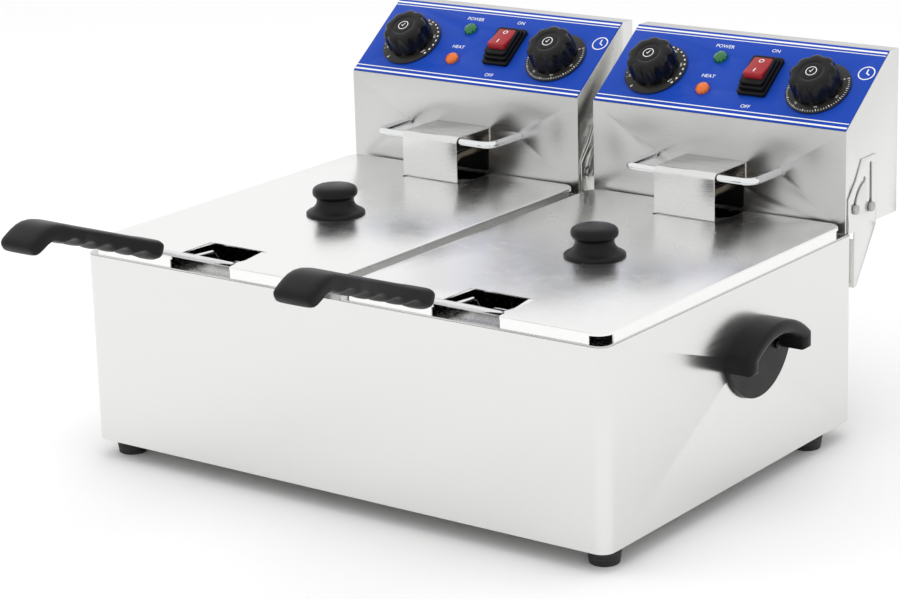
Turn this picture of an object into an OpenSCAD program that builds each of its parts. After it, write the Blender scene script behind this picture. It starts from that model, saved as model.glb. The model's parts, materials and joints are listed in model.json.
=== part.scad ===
// Countertop deep fryer with two tanks, two lids, two baskets and two tilting control heads.
// X points to the right, Y to the back and Z up. The origin is on the table, under the middle.
// Both halves are alike, so each half's pieces are one module that is placed twice.

/* [Cabinet] */
// Width of the cabinet, side to side
body_w = 560; // [520:1:700]
// Depth of the cabinet, front to back
body_d = 410; // [370:1:500]
// Height of the cabinet wall
body_h = 175; // [145:1:220]
// Radius of the cabinet's upright corners
body_r = 12; // [6:0.5:20]
// Thickness of the cabinet's sheet steel
sheet_t = 1; // [0.8:0.1:1.5]
// Height of the rubber feet
foot_h = 17; // [10:1:25]
// Diameter of the rubber feet
foot_d = 31; // [22:1:45]
// Distance from a foot's middle to the cabinet's side
foot_inset = 20; // [19:1:60]
// Distance from a front foot's middle to the cabinet's front
foot_front = 27; // [19:1:60]
// Distance from a rear foot's middle to the cabinet's back
foot_rear = 49; // [19:1:80]

/* [Tanks] */
// Distance from the side of each half of the cabinet to its well
well_margin = 16.5; // [12:0.5:40]
// Distance from the cabinet's front to the well
well_front = 38; // [30:1:60]
// Space under the well, above the cabinet's bottom edge
well_floor_gap = 30; // [20:1:50]
// Radius of the well's upright corners
well_r = 30; // [15:1:45]
// Thickness of the tank's flange
flange_t = 1.2; // [0.8:0.1:2]

/* [Heads] */
// Gap between the inner brackets of the two heads
centre_gap = 14; // [8:1:40]
// Distance by which a head stands over the cabinet's back edge
head_overlap = 14; // [8:1:30]
// Height of the head above the cabinet wall
head_h = 155; // [120:1:200]
// Height of the bend between the front and the sloping panel, above the cabinet wall
bend_h = 96; // [70:1:120]
// Depth of the sloping panel, measured level
slope_run = 81; // [60:1:100]
// Depth of the head's flat top
top_run = 16; // [10:1:40]
// Space between the head and the tank flange
head_lift = 1.3; // [1:0.1:4]
// Thickness of the blue control panel
fascia_t = 0.8; // [0.5:0.1:1.5]

/* [Tilt] */
// Distance from the head's front to the pivot
pivot_back = 43.2; // [30:0.1:60]
// Height of the pivot above the cabinet wall
pivot_up = 19; // [12:0.5:40]
// Radius of the curved guide slot
guide_r = 30; // [22:0.5:40]
// Angle that the head tilts through
tilt_angle = 60; // [30:1:75]
// Diameter of the pivot and guide screws
tilt_pin_d = 5; // [4:0.5:8]
// Clearance round a pivot or guide screw
pin_gap = 0.25; // [0.1:0.05:0.5]
// Thickness of the bracket plates
plate_t = 1.5; // [1:0.1:3]
// Clearance between the head's side and a bracket plate
plate_gap = 0.4; // [0.3:0.1:1]

/* [Guard and hanger] */
// Width of the element guard
guard_w = 64; // [50:1:90]
// Distance by which the guard stands out of the head
guard_run = 56; // [45:1:75]
// Height of the guard's top above the cabinet wall
guard_top = 57; // [45:1:75]
// Thickness of the guard's sheet
guard_t = 1.2; // [0.8:0.1:2]
// Diameter of the hanger rod
hanger_d = 7; // [5:0.5:9]
// Width of the hanger rod, between the middles of its arms
hanger_w = 134; // [110:1:180]

/* [Controls] */
// Distance from the panel's middle to each knob
knob_x = 86.5; // [70:0.5:100]
// Distance of the knobs up the sloping panel
knob_s = 45; // [35:1:60]
// Diameter of a knob's printed skirt
skirt_d = 62; // [50:1:66]
// Diameter of a knob's grip
knob_d = 47; // [36:1:50]
// Height of a knob
knob_h = 25; // [18:1:32]
// Diameter of a control shaft
shaft_d = 6; // [5:0.5:8]
// Running clearance of a knob on its shaft, on the radius
shaft_gap = 0.06; // [0.02:0.01:0.1]
// Distance of the lamps to the left of the panel's middle
lamp_x = 28; // [20:1:34]
// Diameter of a lamp's lens
lamp_d = 15; // [10:1:18]
// Distance of the switch to the right of the panel's middle
switch_x = 24; // [16:1:34]
// Width of the switch flange
switch_w = 30; // [24:1:36]
// Length of the switch flange up the panel
switch_l = 47; // [44:1:56]
// Radius of the rocker about its own pivot
rocker_r = 18; // [14:0.5:19]
// Tilt of the rocker either side of level
rocker_tilt = 12; // [6:1:16]

/* [Lids] */
// Distance from the side of each half of the cabinet to its lid
lid_margin = 1.5; // [0.5:0.5:10]
// Height of a lid's top above the tank flange
lid_h = 10.8; // [8:0.1:20]
// Thickness of a lid
lid_t = 1.2; // [0.8:0.1:2]
// Radius of a lid's corners
lid_r = 14; // [6:1:25]
// Width of the slot at a lid's front, for the basket's handle
slot_w = 66; // [60:1:90]
// Depth of that slot
slot_l = 54; // [40:1:70]
// Clearance between a lid and the element guard
lid_gap = 2; // [1:0.5:5]
// Diameter of a lid knob's base
lid_knob_d = 55; // [46:1:62]
// Height of a lid knob
lid_knob_h = 28; // [25:1:40]

/* [Baskets] */
// Clearance between a basket and the well's sides
basket_gap = 18; // [10:1:30]
// Space between the well's floor and the heating element
element_lift = 15; // [10:1:30]
// Diameter of the heating element's tube
element_d = 8; // [6:0.5:10]
// Space between the heating element and the basket
basket_lift = 13; // [6:1:30]
// Distance of the basket's rim below the cabinet's top edge
rim_drop = 4; // [2:1:12]
// Thickness of the basket's mesh walls
mesh_t = 2.4; // [1.5:0.1:4]
// Diameter of the handle's wires
wire_d = 5; // [4:0.5:7]
// Width of the handle's wire frame at the basket
frame_w = 58; // [40:1:60]
// Angle of the grip above level
grip_angle = 20; // [10:1:30]
// Length of the grip, along its top
grip_l = 168; // [150:1:210]
// Width of the grip
grip_w = 40; // [28:1:50]
// Thickness of the grip
grip_t = 17; // [12:0.5:24]

/* [Side handles] */
// Width of a side handle
pocket_w = 102; // [80:1:130]
// Height of a side handle's back plate
pocket_h = 70; // [55:1:90]
// Distance by which the hood stands out
hood_run = 26; // [20:1:40]
// Thickness of the hood
hood_t = 12; // [8:1:16]
// Distance from the cabinet's front to the handle's middle
pocket_y = 238; // [180:1:290]
// Height of the handle's lowest point above the cabinet's bottom edge
pocket_z = 70; // [40:1:80]

/* [Hidden] */

$fn = 64;
skin = 0.01;            // small step by which a cutting shape passes a face
left = -1;
right = 1;

// Levels and places, in a frame whose Y is 0 at the cabinet's front and Z 0 at its bottom edge
unit_w = (body_w - centre_gap) / 2;
unit_x = (body_w + centre_gap) / 4;
well_w = unit_w - 2 * well_margin;
lid_w = unit_w - 2 * lid_margin;
flange_z = body_h + flange_t;
head_w = unit_w - 2 * (plate_t + plate_gap);
head_y = body_d - head_overlap;
head_z = flange_z + head_lift;
head_top = body_h + head_h;
bend_z = body_h + bend_h;
head_d = slope_run + top_run;
slope_angle = atan2(head_h - bend_h, slope_run);
slope_l = norm([slope_run, head_h - bend_h]);
pivot_y = head_y + pivot_back;
pivot_z = body_h + pivot_up;

// The well ends in front of the head, where the element's legs come down
leg_back = 44;          // from the head's front to the element's legs
leg_room = 16;          // from the legs to the well's back wall
leg_y = head_y - leg_back;
well_back = leg_y + leg_room;
well_d = well_back - well_front;
well_z = well_floor_gap;
element_z = well_z + element_lift;
leg_x = 18;             // half the spacing of the element's legs
bend_r = 12;            // bend radius of the element's corners
run_margin = 25;        // from the well's side to the element's outer run
run_pitch = 50;         // from an outer run to an inner run
outer_run = well_w / 2 - run_margin;
inner_run = outer_run - run_pitch;

// The basket's front stays inside the arc that clears the tank's front edge as the head tilts
swing_gap = 5;
swing_r = norm([pivot_y - well_front, pivot_z - flange_z]) - swing_gap;
basket_z = element_z + element_d / 2 + basket_lift;
basket_w = well_w - 2 * basket_gap;
basket_front = pivot_y - sqrt(pow(swing_r, 2) - pow(pivot_z - basket_z, 2));
basket_back = leg_y - 40;
rim_z = body_h - rim_drop;
element_front = basket_front + 28;

lid_front = 2;
lid_back = head_y - 3;
lid_d = lid_back - lid_front;
lid_z = flange_z + lid_h;
lid_knob_y = (lid_front + lid_back) / 2 - 4;

// The grip starts in front of the lid and rises away from it
grip_start = 60;        // from the cabinet's front to the grip's near end
grip_up = 25.5;         // from the lid's top to the grip's middle at that end
grip_y = -grip_start;
grip_z = lid_z + grip_up;
bar_y = basket_front - 46;
bar_z = lid_z - 4.4;
grip_hold = 30;         // length of wire inside the grip
paddle_l = 33;          // from the grip's top to the paddle's lower edge
paddle_tip = [grip_l - 2, grip_t / 2 + 4 - paddle_l];
front_reach = grip_start + paddle_tip[0] * cos(grip_angle) - paddle_tip[1] * sin(grip_angle);
gland_l = 14;
back_reach = head_y + head_d + gland_l;
mid_y = (back_reach - front_reach) / 2;

module placed() translate([0, -mid_y, foot_h]) children();

module half(side) placed() translate([side * unit_x, 0, 0]) children();

// Panel frame: X along the panel, Y up its slope and Z straight out of it
module on_panel(x, s, out = 0)
  translate([x, head_y, bend_z]) rotate([slope_angle, 0, 0]) translate([0, s, out]) children();

// An outline drawn in Y and Z, given a thickness along X from the place x
module side_plate(x, t) translate([x, 0, 0]) rotate([90, 0, 90]) linear_extrude(t) children();

module round_rect(w, d, r) {
  square([w - 2 * r, d], center = true);
  square([w, d - 2 * r], center = true);
  for (sx = [-1, 1], sy = [-1, 1]) translate([sx * (w / 2 - r), sy * (d / 2 - r)]) circle(r);
}

function unit(v) = v / norm(v);

// Points round one corner of a path, from a by b to c
bend_steps = 6;
function corner(a, b, c, bend) =
  let (u = unit(b - a), v = unit(c - b), turn = acos(u * v), cut = bend * tan(turn / 2),
       side = unit(v - u * (u * v)), middle = b - u * cut + side * bend)
  [for (i = [0:bend_steps]) let (t = turn * i / bend_steps) middle + bend * (u * sin(t) - side * cos(t))];

// Directions across a path, each carried on from the one before it so that the rod has no twist
function carried(ways, n, i = 0) =
  i == len(ways) ? [] : let (m = unit(n - ways[i] * (n * ways[i]))) concat([m], carried(ways, m, i + 1));

// Rod along straight runs between points, with round bends of one radius at the corners
rod_sides = 12;
module bent_rod(pts, bend, d) {
  last = len(pts) - 1;
  path = concat([pts[0]], [for (i = [1:last - 1]) each corner(pts[i - 1], pts[i], pts[i + 1], bend)],
                [pts[last]]);
  end = len(path) - 1;
  ways = [for (i = [0:end]) unit(path[min(i + 1, end)] - path[max(i - 1, 0)])];
  across = carried(ways, [0.2, 0.3, 1]);
  rings = [for (i = [0:end], j = [0:rod_sides - 1]) let (t = 360 * j / rod_sides)
    path[i] + d / 2 * (across[i] * cos(t) + cross(ways[i], across[i]) * sin(t))];
  function at(i, j) = i * rod_sides + j % rod_sides;
  walls = [for (i = [0:end - 1], j = [0:rod_sides - 1])
    each [[at(i, j), at(i + 1, j), at(i + 1, j + 1)], [at(i, j), at(i + 1, j + 1), at(i, j + 1)]]];
  caps = [[for (j = [0:rod_sides - 1]) at(0, j)], [for (j = [rod_sides - 1:-1:0]) at(end, j)]];
  polyhedron(rings, concat(walls, caps));
}

// ---- cabinet ----

module cabinet_shell() color("#e4e4e2") placed()
  difference() {
    translate([0, body_d / 2, 0]) linear_extrude(body_h) difference() {
      round_rect(body_w, body_d, body_r);
      round_rect(body_w - 2 * sheet_t, body_d - 2 * sheet_t, body_r - sheet_t);
    }
    for (s = [left, right]) handle_holes(s);
  }

hole_d = 4.4;
screw_d = 4;
module handle_holes(s)
  for (y = [-1, 1])
    translate([s * body_w / 2, pocket_y + y * pocket_screw_y, pocket_screw_z]) rotate([0, 90, 0])
      cylinder(h = 6 * sheet_t, d = hole_d, center = true, $fn = 32);

bottom_gap = 0.3;
bottom_inset = sheet_t + bottom_gap;
base_lift = 1;
module base_plate() color("#bdbdbb") placed()
  difference() {
    translate([0, body_d / 2, base_lift]) linear_extrude(sheet_t)
      round_rect(body_w - 2 * bottom_inset, body_d - 2 * bottom_inset, body_r - bottom_inset);
    at_feet() translate([0, 0, -skin]) cylinder(h = 4, d = hole_d, $fn = 32);
  }

module at_feet()
  for (x = [-1, 1], y = [foot_front, body_d - foot_rear])
    translate([x * (body_w / 2 - foot_inset), y, 0]) children();

deck_t = 1.2;
pan_t = 0.8;
pan_gap = 0.6;
module deck() color("#c8c8c6") placed()
  translate([0, body_d / 2, body_h - deck_t]) linear_extrude(deck_t) difference() {
    round_rect(body_w - 2 * bottom_inset, body_d - 2 * bottom_inset, body_r - bottom_inset);
    for (s = [left, right])
      translate([s * unit_x, (well_front + well_back - body_d) / 2])
        round_rect(well_w + 2 * (pan_t + pan_gap), well_d + 2 * (pan_t + pan_gap), well_r + pan_t);
  }

foot_rim = 3;           // height of a foot's straight rim
foot_taper = 5;         // by how much a foot narrows to its sole
foot_web = 4;           // rubber left over the screw's recess
recess_d = 12;
module feet() color("#1c1c1c") placed() at_feet()
  difference() {
    union() {
      translate([0, 0, -foot_h]) cylinder(h = foot_h - foot_rim, d1 = foot_d - foot_taper, d2 = foot_d, $fn = 48);
      translate([0, 0, -foot_rim]) cylinder(h = foot_rim + base_lift, d = foot_d, $fn = 48);
    }
    translate([0, 0, -foot_h - skin]) cylinder(h = foot_h - foot_web + skin, d = recess_d, $fn = 32);
    translate([0, 0, -2 * foot_web]) cylinder(h = 4 * foot_web, d = hole_d, $fn = 32);
  }

head_t = 2.5;
washer_d = 9;
nut_t = 3;
module foot_screws() color("#9a9a98") placed() at_feet() {
  translate([0, 0, -foot_web - head_t]) cylinder(h = head_t, d = washer_d, $fn = 32);
  translate([0, 0, -foot_web - skin]) cylinder(h = foot_web + nut_t + base_lift + sheet_t, d = screw_d, $fn = 32);
  translate([0, 0, base_lift + sheet_t]) cylinder(h = nut_t, d = 2 * screw_d, $fn = 6);
}

// ---- side handles ----

arch_r = 75;                                   // radius of the hood's arch
arch_rise = arch_r - sqrt(pow(arch_r, 2) - pow(pocket_w / 2, 2));
belly_r = 55;                                  // radius of the back plate's rounded bottom
arch_z = pocket_h - arch_r;                    // centre of the arch above the lowest point
leg_end_z = belly_r - sqrt(pow(belly_r, 2) - pow(pocket_w / 2, 2));
back_t = 3;
pocket_screw_y = 28;
pocket_screw_z = pocket_z + 40;

module pocket_belly()
  intersection() {
    union() {
      translate([0, belly_r]) circle(belly_r, $fn = 96);
      translate([-pocket_w / 2, belly_r]) square([pocket_w, pocket_h]);
    }
    translate([0, arch_z]) circle(arch_r, $fn = 96);
    translate([-pocket_w / 2, 0]) square([pocket_w, pocket_h]);
  }

module pocket_hood()
  difference() {
    pocket_belly();
    intersection() {
      translate([0, arch_z]) circle(arch_r - hood_t, $fn = 96);
      translate([-pocket_w / 2 + hood_t, -1]) square([pocket_w - 2 * hood_t, pocket_h]);
    }
    translate([-pocket_w, -1]) square([2 * pocket_w, leg_end_z + 1]);
  }

module side_handle(s) color("#262626") placed()
  difference() {
    mirror([s < 0 ? 1 : 0, 0, 0]) translate([0, pocket_y, pocket_z]) {
      side_plate(body_w / 2, back_t) pocket_belly();
      side_plate(body_w / 2, hood_run) pocket_hood();
    }
    for (y = [-1, 1])
      translate([s * body_w / 2, pocket_y + y * pocket_screw_y, pocket_screw_z]) rotate([0, 90, 0])
        cylinder(h = 2 * hood_run + 4, d = hole_d, center = true, $fn = 32);
  }

module handle_screws() color("#9a9a98") placed()
  for (s = [left, right], y = [-1, 1])
    translate([s * body_w / 2, pocket_y + y * pocket_screw_y, pocket_screw_z])
      rotate([0, s * 90, 0]) {
        translate([0, 0, back_t]) cylinder(h = 2.4, d = 8, $fn = 32);
        translate([0, 0, -6]) cylinder(h = 6 + back_t + skin, d = screw_d, $fn = 32);
      }

// ---- tanks ----

flange_inset = 0.8;
module tank(s) color("#d9dadb") half(s)
  difference() {
    union() {
      translate([0, body_d / 2, body_h]) linear_extrude(flange_t)
        round_rect(2 * (body_w / 2 - unit_x - flange_inset), body_d - 2 * flange_inset, body_r - 2);
      translate([0, (well_front + well_back) / 2, well_z - pan_t]) linear_extrude(body_h - well_z + pan_t)
        round_rect(well_w + 2 * pan_t, well_d + 2 * pan_t, well_r + pan_t);
    }
    translate([0, (well_front + well_back) / 2, well_z]) linear_extrude(body_h)
      round_rect(well_w, well_d, well_r);
  }

// ---- head brackets ----

guide_start = atan2(3.3, -29.6);               // where the guide screw sits, seen from the pivot
slot_lift = 39;                                // height of the straight slot above the pivot
slot_half = tilt_pin_d / 2 + pin_gap;
plate_back = 11;                               // from the pivot to the plate's back edge
plate_foot = 51;                               // length of the plate below the cabinet's top
rim_w = 10;                                    // metal left round the guide slot
function guide_point(a) = [guide_r * cos(a), guide_r * sin(a)];

// Slots in Y and Z, about the pivot
module guide_slot() {
  intersection() {
    difference() {
      circle(guide_r + slot_half, $fn = 128);
      circle(guide_r - slot_half, $fn = 128);
    }
    polygon([[0, 0], 2 * guide_point(guide_start), 2 * guide_point(guide_start - tilt_angle / 2),
             2 * guide_point(guide_start - tilt_angle)]);
  }
  for (a = [guide_start, guide_start - tilt_angle]) translate(guide_point(a)) circle(slot_half, $fn = 32);
}

module straight_slot() {
  circle(slot_half, $fn = 32);
  translate([-slot_half, 0]) square([2 * slot_half, slot_lift]);
  translate([0, slot_lift]) circle(slot_half, $fn = 32);
}

module plate_outline() {
  top = slot_lift + rim_w - 2;
  low = -pivot_up + flange_t;
  polygon([[-pivot_back + 3, low], [-pivot_back + 3, 14], [-guide_r + 4, 30], [-16, top], [plate_back, top],
           [plate_back, low], [plate_back, -pivot_up], [-pivot_back + head_overlap + 4, -pivot_up - plate_foot],
           [-pivot_back + head_overlap + 0.4, -pivot_up - plate_foot],
           [-pivot_back + head_overlap + 0.4, low]]);
}

// The plate stands at the head's side, and its flange is welded to the cabinet's back
flange_run = 16;
module bracket(s, edge) color("#dfdfdd") half(s) {
  x = edge > 0 ? unit_w / 2 - plate_t : -unit_w / 2;
  side_plate(x, plate_t) translate([pivot_y, pivot_z]) difference() {
    plate_outline();
    guide_slot();
    straight_slot();
  }
  translate([edge > 0 ? x - flange_run + plate_t : x, body_d, body_h - plate_foot])
    cube([flange_run, plate_t, plate_foot - 6]);
}

// ---- heads ----

shell_t = 1.2;
function profile(t) = [
  [head_y + t, head_z],
  [head_y + t, bend_z + t * tan(slope_angle) - t / cos(slope_angle)],
  [head_y + (head_h - bend_h - t + t / cos(slope_angle)) / tan(slope_angle), head_top - t],
  [head_y + head_d, head_top - t], [head_y + head_d, head_z]];

shaft_hole_d = 10;
body_gap = 0.3;
module panel_holes(t) {
  for (x = [-knob_x, knob_x]) on_panel(x, knob_s, -10) cylinder(h = 10 + t, d = shaft_hole_d, $fn = 32);
  for (s = [lamp_low, lamp_high])
    on_panel(-lamp_x, s, -10) cylinder(h = 10 + t, d = lamp_stem_d + 2 * body_gap, $fn = 32);
  on_panel(switch_x, switch_s, -10) translate([-switch_in_w / 2, -switch_in_l / 2, 0])
    cube([switch_in_w, switch_in_l, 10 + t]);
}

module head_shell(s) color("#d2d3d3") half(s)
  difference() {
    side_plate(-head_w / 2, head_w) polygon(profile(0));
    side_plate(-head_w / 2 + shell_t, head_w - 2 * shell_t)
      polygon(concat([[head_y + shell_t, head_z - 1]], [for (i = [1:2]) profile(shell_t)[i]],
                     [[head_y + head_d + 1, head_top - shell_t], [head_y + head_d + 1, head_z - 1]]));
    panel_holes(1);
    for (x = [-leg_x, leg_x]) front_hole(x, element_exit_z, element_d + 2);
    front_hole(0, sensor_exit_z, capillary_d + 2);
    for (x = [-hanger_w / 2, hanger_w / 2]) front_hole(x, hanger_z, hanger_d + 2 * skin);
    translate([0, pivot_y, pivot_z]) side_holes();
  }

module front_hole(x, z, d)
  translate([x, head_y - 1, z]) rotate([-90, 0, 0]) cylinder(h = shell_t + 2, d = d, $fn = 32);

module side_holes()
  for (p = [[0, 0], guide_point(guide_start)])
    translate([0, p[0], p[1]]) rotate([0, 90, 0])
      cylinder(h = head_w + 2, d = tilt_pin_d + 2 * skin, center = true, $fn = 32);

module head_back(s) color("#cfcfce") half(s) {
  inner_w = head_w - 2 * shell_t - 0.4;
  translate([-inner_w / 2, head_y + head_d - shell_t, head_z])
    difference() {
      cube([inner_w, shell_t, head_top - head_z - shell_t - 0.2]);
      translate([inner_w / 2 - gland_x, -1, gland_z - head_z]) rotate([-90, 0, 0])
        cylinder(h = shell_t + 2, d = gland_stem_d + 2 * skin, $fn = 32);
      for (x = [0.2:0.1:0.8], z = [60:8:108])
        translate([inner_w * x - 9, -1, z]) cube([18, shell_t + 2, 2.5]);
    }
  translate([-inner_w / 2, head_y + shell_t + 0.2, head_z])
    cube([inner_w, head_d - 2 * shell_t - 0.2, shell_t]);
}

module fascia(s) color("#2445b8") half(s)
  difference() {
    on_panel(-head_w / 2 + 0.6, 0.6, 0) cube([head_w - 1.2, slope_l - 1.2, fascia_t]);
    panel_holes(fascia_t + 1);
  }

// ---- thermostat and timer, each a body under the panel with a shaft through it ----

module control(s, x, w, depth) color("#8f8f8d") half(s) on_panel(x, knob_s, 0) {
  translate([-w / 2, -w / 2, -shell_t - depth]) cube([w, w, depth]);
  translate([0, 0, -shell_t - skin]) cylinder(h = shell_t + fascia_t - skin, d = shaft_hole_d - 1, $fn = 32);
  translate([0, 0, -shell_t - skin]) cylinder(h = shell_t + fascia_t + knob_h - 5, d = shaft_d, $fn = 32);
}

knob_gap = 0.6;
skirt_t = 3;
module knob(s, x) color("#1d1d1d") half(s) on_panel(x, knob_s, fascia_t + knob_gap)
  difference() {
    union() {
      cylinder(h = skirt_t, d = skirt_d, $fn = 96);
      translate([0, 0, skirt_t - skin]) cylinder(h = knob_h - skirt_t + skin, d = knob_d, $fn = 96);
    }
    translate([0, 0, -1]) cylinder(h = knob_h - 3, d = shaft_d + 2 * shaft_gap, $fn = 48);
  }

// ---- lamps ----

lamp_low = 29;
lamp_high = 69;
lamp_stem_d = 10;
module lamp(s, up, tint) color(tint) half(s) on_panel(-lamp_x, up, fascia_t) {
  translate([0, 0, -26]) cylinder(h = 26 + skin, d = lamp_stem_d, $fn = 32);
  cylinder(h = 1.5, d = lamp_d, $fn = 48);
  translate([0, 0, 1.5 - skin]) cylinder(h = 4, d1 = lamp_d - 1.5, d2 = lamp_d - 6, $fn = 48);
}

// ---- switch: a stepped rubber boot round a rocker that is part of a drum about its pivot ----

switch_s = 50.5;
switch_in_w = 26;
switch_in_l = 39;
rocker_w = 21;
rocker_up = 2.5;        // height of the rocker's pivot above the panel's sheet
rocker_face = 12;       // distance of the rocker's face from its pivot
rocker_gap = 0.4;
boot_steps = [[0, 0, 4], [3, 7, 4], [5, 13, 4]];   // narrower by, shorter by, height

module switch_housing(s) color("#222222") half(s) on_panel(switch_x, switch_s, fascia_t)
  difference() {
    union() {
      for (i = [0:2])
        translate([0, 0, i * 4 - (i > 0 ? skin : 0) + boot_steps[i][2] / 2])
          cube([switch_w - boot_steps[i][0], switch_l - boot_steps[i][1], boot_steps[i][2]], center = true);
      translate([0, 0, -13]) cube([switch_in_w - 0.6, switch_in_l - 0.6, 26 + skin], center = true);
    }
    translate([0, 0, rocker_up - fascia_t]) rotate([0, 90, 0])
      cylinder(h = rocker_w + 2 * rocker_gap, r = rocker_r + rocker_gap, center = true, $fn = 96);
  }

module rocker(s) color("#c0282c") half(s) on_panel(switch_x, switch_s, rocker_up)
  rotate([-rocker_tilt, 0, 0]) intersection() {
    rotate([0, 90, 0]) cylinder(h = rocker_w, r = rocker_r, center = true, $fn = 96);
    translate([0, 0, rocker_face - 9]) cube([rocker_w + 2, 3 * rocker_r, 18], center = true);
  }

// ---- element, its sensor, the guard and the hanger rod ----

element_exit_z = body_h + 34;
element_end = 26;       // length of the element's cold ends inside the head
function mirrored(p) = [-p[0], p[1], p[2]];
module element(s) color("#b9b4ad") half(s) {
  arm = [
    [leg_x, head_y + element_end, element_exit_z], [leg_x, leg_y, element_exit_z],
    [leg_x, leg_y, element_z], [outer_run, leg_y, element_z],
    [outer_run, element_front, element_z], [inner_run, element_front, element_z],
    [inner_run, basket_back, element_z]];
  bent_rod(concat(arm, [for (i = [len(arm) - 1:-1:0]) mirrored(arm[i])]), bend_r, element_d);
}

bulb_d = 6;
bulb_l = 80;
capillary_d = 2.4;
sensor_exit_z = body_h + 26;
strap_w = 12;           // width of the strap that holds the bulb
strap_end = 8;          // its reach past the element's inner runs
sensor_z = element_z + element_d / 2 + bulb_d / 2 + 1;
module sensor(s) color("#c9a227") half(s) {
  bulb_y = basket_back - 60;
  translate([0, bulb_y - bulb_l, sensor_z]) rotate([-90, 0, 0]) cylinder(h = bulb_l, d = bulb_d, $fn = 24);
  bent_rod([[0, bulb_y - skin, sensor_z], [0, leg_y, sensor_z], [0, leg_y, sensor_exit_z],
            [0, head_y + element_end, sensor_exit_z]], bend_r, capillary_d);
  translate([-inner_run - strap_end, bulb_y - (bulb_l + strap_w) / 2, element_z + element_d / 2])
    cube([2 * (inner_run + strap_end), strap_w, 1 + skin]);
}

guard_r = 6;
module guard(s) color("#d5d6d6") half(s) {
  front = head_y - guard_run;
  top = body_h + guard_top;
  low = lid_z - 6;
  side_plate(-guard_w / 2, guard_w) {
    translate([front, low]) square([guard_t, top - low - guard_r]);
    translate([front + guard_r, top - guard_t]) square([guard_run - guard_r, guard_t]);
    translate([front + guard_r, top - guard_r]) intersection() {
      difference() { circle(guard_r); circle(guard_r - guard_t); }
      translate([-guard_r, 0]) square(guard_r);
    }
  }
  translate([-guard_w / 2, head_y - guard_t, top - 16]) cube([guard_w, guard_t, 16 - guard_t / 2]);
}

hanger_z = body_h + guard_top - guard_t - hanger_d / 2 - 0.4;
hanger_front = head_y - guard_run + guard_t + hanger_d / 2 + 1.5;
module hanger_rod(s) color("#d8d9da") half(s)
  bent_rod([[-hanger_w / 2, head_y + 8, hanger_z], [-hanger_w / 2, hanger_front, hanger_z],
            [hanger_w / 2, hanger_front, hanger_z], [hanger_w / 2, head_y + 8, hanger_z]], bend_r, hanger_d);

screw_head_d = 9;
screw_head_t = 2.6;
module tilt_screws(s) color("#8c8c8a") half(s)
  for (m = [0, 1], p = [[0, 0], guide_point(guide_start)])
    mirror([m, 0, 0]) translate([head_w / 2, pivot_y + p[0], pivot_z + p[1]]) rotate([0, 90, 0]) {
      translate([0, 0, -6]) cylinder(h = 6 + plate_gap + plate_t + 0.3, d = tilt_pin_d, $fn = 32);
      translate([0, 0, plate_gap + plate_t + 0.3 - skin]) cylinder(h = screw_head_t, d = screw_head_d, $fn = 32);
      translate([0, 0, -shell_t - 3]) cylinder(h = 3, d = 9, $fn = 6);
    }

gland_stem_d = 16;
gland_x = 85;
gland_z = head_z + 26;
module cable_gland(s) color("#202020") half(s)
  translate([-gland_x, head_y + head_d, gland_z]) rotate([-90, 0, 0]) difference() {
    union() {
      translate([0, 0, -shell_t - 6]) cylinder(h = 6 + shell_t + skin, d = gland_stem_d, $fn = 32);
      cylinder(h = 5, d = 24, $fn = 6);
      translate([0, 0, 5 - skin]) cylinder(h = gland_l - 5 + skin, d1 = 19, d2 = 15, $fn = 32);
    }
    translate([0, 0, -shell_t - 7]) cylinder(h = gland_l + 12, d = 9, $fn = 32);
  }

// ---- lids ----

corner_cut = lid_r + 4;
module lid(s) color("#e6e7e8") half(s)
  difference() {
    translate([0, (lid_front + lid_back) / 2, flange_z]) difference() {
      linear_extrude(lid_h) round_rect(lid_w, lid_d, lid_r);
      translate([0, 0, -1]) linear_extrude(lid_h - lid_t + 1)
        round_rect(lid_w - 2 * lid_t, lid_d - 2 * lid_t, lid_r - lid_t);
      for (x = [-1, 1], y = [-1, 1])
        translate([x * lid_w / 2, y * lid_d / 2, (lid_h - lid_t) / 2 - 1])
          cube([2 * corner_cut, 2 * corner_cut, lid_h - lid_t - 2], center = true);
    }
    translate([-slot_w / 2, lid_front - 1, flange_z - 1]) cube([slot_w, slot_l + 1, lid_h + 2]);
    guard_cut = guard_w / 2 + lid_gap;
    translate([-guard_cut, head_y - guard_run - lid_gap, flange_z - 1])
      cube([2 * guard_cut, guard_run + 10, lid_h + 2]);
    translate([0, lid_knob_y, flange_z]) cylinder(h = lid_h + 2, d = hole_d, $fn = 32);
  }

neck_r = 17.3;          // radius of the knob's waist
cap_r = 21;             // radius of its top
cap_z = lid_knob_h - 10;
knob_profile = [[0, 0], [lid_knob_d / 2, 0], [lid_knob_d / 2, 3], [neck_r + 2.5, 7.5], [neck_r, 12],
                [neck_r + 0.5, cap_z - 2.5], [cap_r, cap_z], [cap_r, cap_z + 4], [neck_r + 0.7, lid_knob_h - 1.5],
                [0, lid_knob_h]];
module lid_knob(s) color("#1f1f1f") half(s) translate([0, lid_knob_y, lid_z])
  difference() {
    rotate_extrude($fn = 64) polygon(knob_profile);
    translate([0, 0, -1]) cylinder(h = 15, d = screw_d + 2 * skin, $fn = 32);
  }

module lid_screw(s) color("#9a9a98") half(s) translate([0, lid_knob_y, lid_z - lid_t]) {
  translate([0, 0, -2.2]) cylinder(h = 2.2, d = 8, $fn = 32);
  translate([0, 0, -skin]) cylinder(h = lid_t + 12, d = screw_d, $fn = 32);
}

// ---- baskets ----

rim_d = 5;
module basket(s) color("#c4c6c8") half(s) translate([0, (basket_front + basket_back) / 2, basket_z]) {
  w = basket_w;
  l = basket_back - basket_front;
  h = rim_z - basket_z;
  difference() {
    linear_extrude(h) round_rect(w, l, 20);
    translate([0, 0, mesh_t]) linear_extrude(h) round_rect(w - 2 * mesh_t, l - 2 * mesh_t, 20 - mesh_t);
  }
}

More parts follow.
